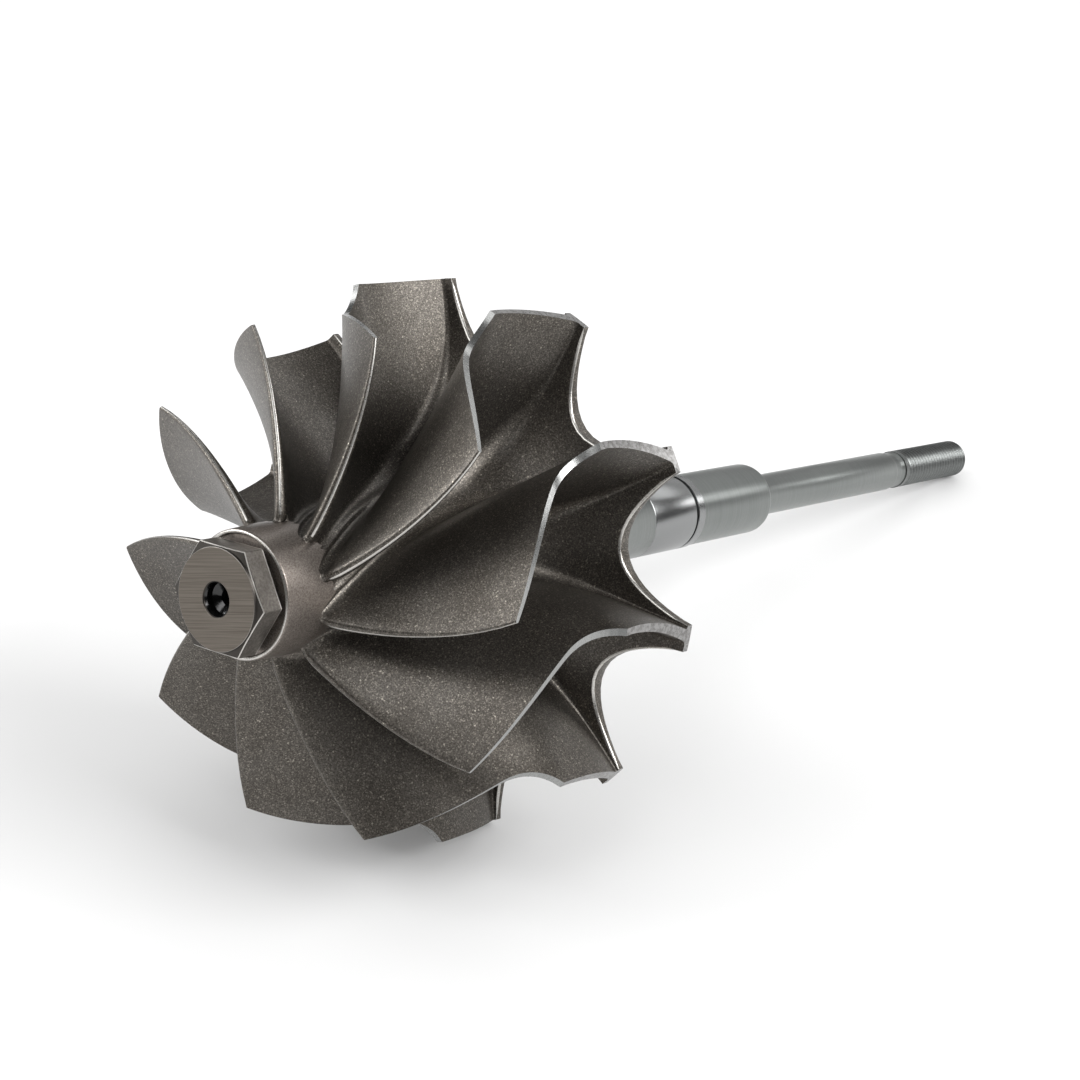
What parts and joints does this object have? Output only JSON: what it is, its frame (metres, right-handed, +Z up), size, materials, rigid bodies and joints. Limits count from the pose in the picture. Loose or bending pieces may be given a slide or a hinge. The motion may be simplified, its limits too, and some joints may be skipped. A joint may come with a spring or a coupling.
{
  "type": "turbocharger turbine wheel",
  "caption": "Radial-inflow turbocharger turbine wheel with curved blades, a scalloped back disc and a hexagonal nose, on a stepped shaft with a threaded end.",
  "frame": {"origin": "centre of the bounding box's base, on the level floor the rotor lies on with two tip plates and the end of its shaft", "axes": "+Z up; +Y level, over the rotor's axis, from the nose to the threaded end; +X to the right for someone looking along +Y at the nose"},
  "size_m": [0.0718, 0.1828, 0.0716],
  "materials": {
    "cast_alloy": "fine-grained investment casting in nickel alloy, dark grey-brown with tiny bright grains",
    "cast_blade": "same casting, with narrow ground edges",
    "ground_steel": "fine cylindrical grinding, satin"
  },
  "bodies": {
    "root": {"hub": "cast_alloy", "back_disc": "cast_alloy", "nose_collar": "cast_alloy", "hex_nose": "cast_alloy", "shaft_boss": "cast_alloy", "blade_01": "cast_blade", "blade_02": "cast_blade", "blade_03": "cast_blade", "blade_04": "cast_blade", "blade_05": "cast_blade", "blade_06": "cast_blade", "blade_07": "cast_blade", "blade_08": "cast_blade", "blade_09": "cast_blade", "blade_10": "cast_blade", "weld_hub": "ground_steel", "ring_land": "ground_steel", "bearing_journal": "ground_steel", "shaft_stem": "ground_steel", "thread_neck": "ground_steel", "threaded_end": "ground_steel"}
  },
  "joints": []
}
